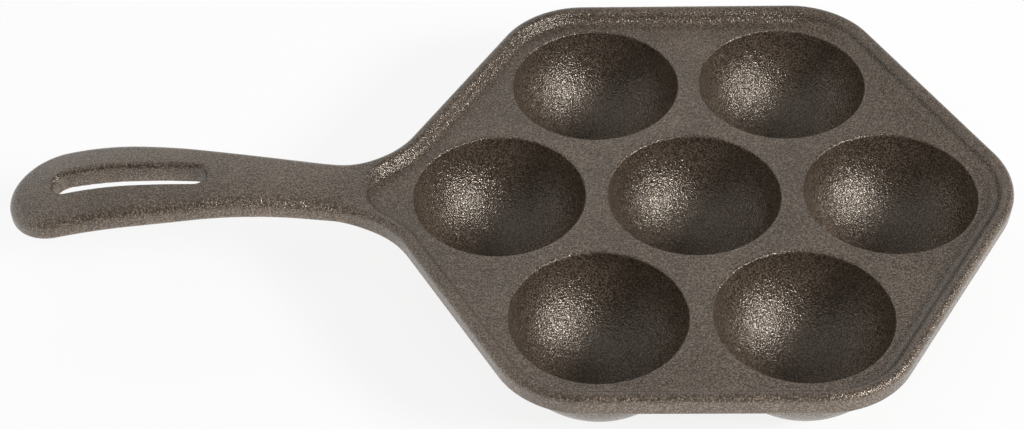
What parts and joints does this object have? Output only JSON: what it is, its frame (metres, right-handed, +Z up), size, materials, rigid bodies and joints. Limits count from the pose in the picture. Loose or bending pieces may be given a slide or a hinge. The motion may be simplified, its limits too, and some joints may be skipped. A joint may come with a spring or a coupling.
{
  "type": "aebleskiver pan",
  "caption": "Cast-iron pancake-puff pan: a rimmed hexagonal plate with round wells and a flat arched handle with a hanging slot",
  "frame": {"origin": "on the table, in the middle of the small flat under the middle cup", "axes": "+X away from the handle, +Z up out of the wells, +Y to the left of somebody who holds the handle"},
  "size_m": [0.3604, 0.2056, 0.0468],
  "materials": {
    "seasoned_iron": "seasoned, sand-cast grain"
  },
  "bodies": {
    "root": {"plate": "seasoned_iron", "rim": "seasoned_iron", "cup_centre": "seasoned_iron", "cup_right": "seasoned_iron", "cup_back_right": "seasoned_iron", "cup_back_left": "seasoned_iron", "cup_left": "seasoned_iron", "cup_front_left": "seasoned_iron", "cup_front_right": "seasoned_iron", "handle_shank": "seasoned_iron", "handle_grip": "seasoned_iron"}
  },
  "joints": []
}
